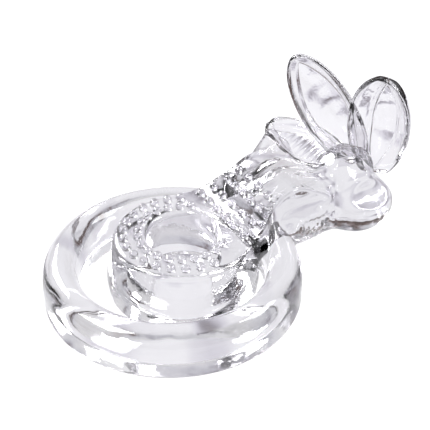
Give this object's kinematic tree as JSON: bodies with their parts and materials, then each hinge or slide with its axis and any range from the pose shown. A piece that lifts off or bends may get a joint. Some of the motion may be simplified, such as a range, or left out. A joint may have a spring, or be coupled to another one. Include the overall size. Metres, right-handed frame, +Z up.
{
  "type": "double stretch ring",
  "caption": "Clear elastomer double ring: a large loop around a shorter nubbed ring whose arm rises to a petal-shaped head.",
  "frame": {"origin": "on the small ring's bore axis, at the plane that both rings rest on", "axes": "+X along the arm towards the head, +Z up along the bore"},
  "size_m": [0.0823, 0.055, 0.0404],
  "materials": {
    "clear_elastomer": "gloss"
  },
  "bodies": {
    "ring_and_arm": {"small_ring": "clear_elastomer", "ring_nubs": "clear_elastomer", "arm": "clear_elastomer", "arm_nubs": "clear_elastomer", "loop_bridge": "clear_elastomer"},
    "loop": {"large_loop": "clear_elastomer"},
    "head": {"neck": "clear_elastomer", "bud": "clear_elastomer", "lower_lobe": "clear_elastomer"},
    "upper_petals": {"petal_upright": "clear_elastomer", "petal_right": "clear_elastomer"},
    "left_petal": {"petal_left": "clear_elastomer"}
  },
  "joints": [
    {"name": "neck_nod", "type": "hinge", "parent": "ring_and_arm", "child": "head", "pos_m": [0.0225, 0, 0.0159], "axis": [0, -1, 0], "range_deg": [-6, 30], "stiffness_Nm_per_rad": 0.15},
    {"name": "loop_tilt", "type": "hinge", "parent": "ring_and_arm", "child": "loop", "pos_m": [0.0197, 0, 0.005], "axis": [0, 1, 0], "range_deg": [-16, 16], "stiffness_Nm_per_rad": 0.12},
    {"name": "upper_petals_flex", "type": "hinge", "parent": "head", "child": "upper_petals", "pos_m": [0.042, 0, 0.016], "axis": [-0.6308, 0.731, -0.2603], "range_deg": [-12, 12], "stiffness_Nm_per_rad": 0.008},
    {"name": "left_petal_flex", "type": "hinge", "parent": "head", "child": "left_petal", "pos_m": [0.042, 0, 0.016], "axis": [-0.9518, -0.3052, -0.0305], "range_deg": [-12, 6], "stiffness_Nm_per_rad": 0.004}
  ]
}
